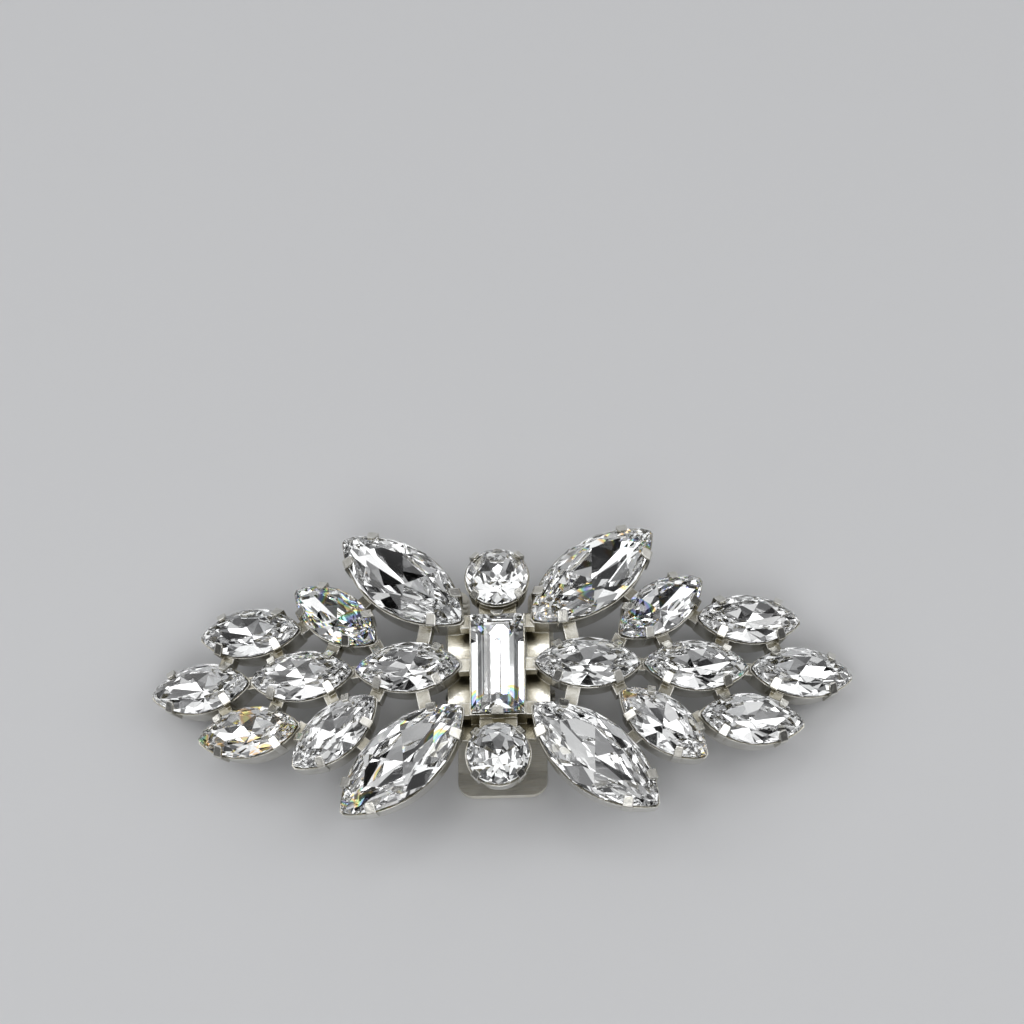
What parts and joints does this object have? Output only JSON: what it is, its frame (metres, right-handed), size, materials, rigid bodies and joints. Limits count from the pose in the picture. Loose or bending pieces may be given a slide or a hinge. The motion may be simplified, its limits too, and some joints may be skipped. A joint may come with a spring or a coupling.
{
  "type": "shoe buckle",
  "caption": "Arched shoe buckle of clear cut stones in claw-set cups, soldered to a plate that carries a sprung clip behind.",
  "frame": {"origin": "middle of the buckle, on the plane that the flat back of the clip's lever rests on", "axes": "+Z out of the face, +X along the row of stones, +Y towards the jaw end of the clip"},
  "size_m": [0.0676, 0.0292, 0.0103],
  "materials": {
    "silver_plate": "polished silver plate",
    "clear_stone": "polished, faceted",
    "clip_steel": "plated, smooth",
    "pin_steel": "drawn wire",
    "spring_steel": "drawn wire"
  },
  "bodies": {
    "buckle": {"setting_frame": "silver_plate", "inner_stone_left": "clear_stone", "inner_stone_right": "clear_stone", "middle_stone_left": "clear_stone", "middle_stone_right": "clear_stone", "tip_stone_left": "clear_stone", "tip_stone_right": "clear_stone", "large_stone_upper_left": "clear_stone", "large_stone_upper_right": "clear_stone", "large_stone_lower_left": "clear_stone", "large_stone_lower_right": "clear_stone", "slant_stone_upper_left": "clear_stone", "slant_stone_upper_right": "clear_stone", "slant_stone_lower_left": "clear_stone", "slant_stone_lower_right": "clear_stone", "outer_stone_upper_left": "clear_stone", "outer_stone_upper_right": "clear_stone", "outer_stone_lower_left": "clear_stone", "outer_stone_lower_right": "clear_stone", "round_stone_upper": "clear_stone", "round_stone_lower": "clear_stone", "bar_stone": "clear_stone", "hinge_pin": "pin_steel", "clip_spring": "spring_steel"},
    "lever": {"clip_lever": "clip_steel"}
  },
  "joints": [
    {"name": "clip_hinge", "type": "hinge", "parent": "buckle", "child": "lever", "pos_m": [0, -0.0015, 0.00311], "axis": [-1, 0, 0], "range_deg": [0, 25], "stiffness_Nm_per_rad": 0.0005, "springref_deg": -45.84, "deforming": ["clip_spring"]}
  ]
}
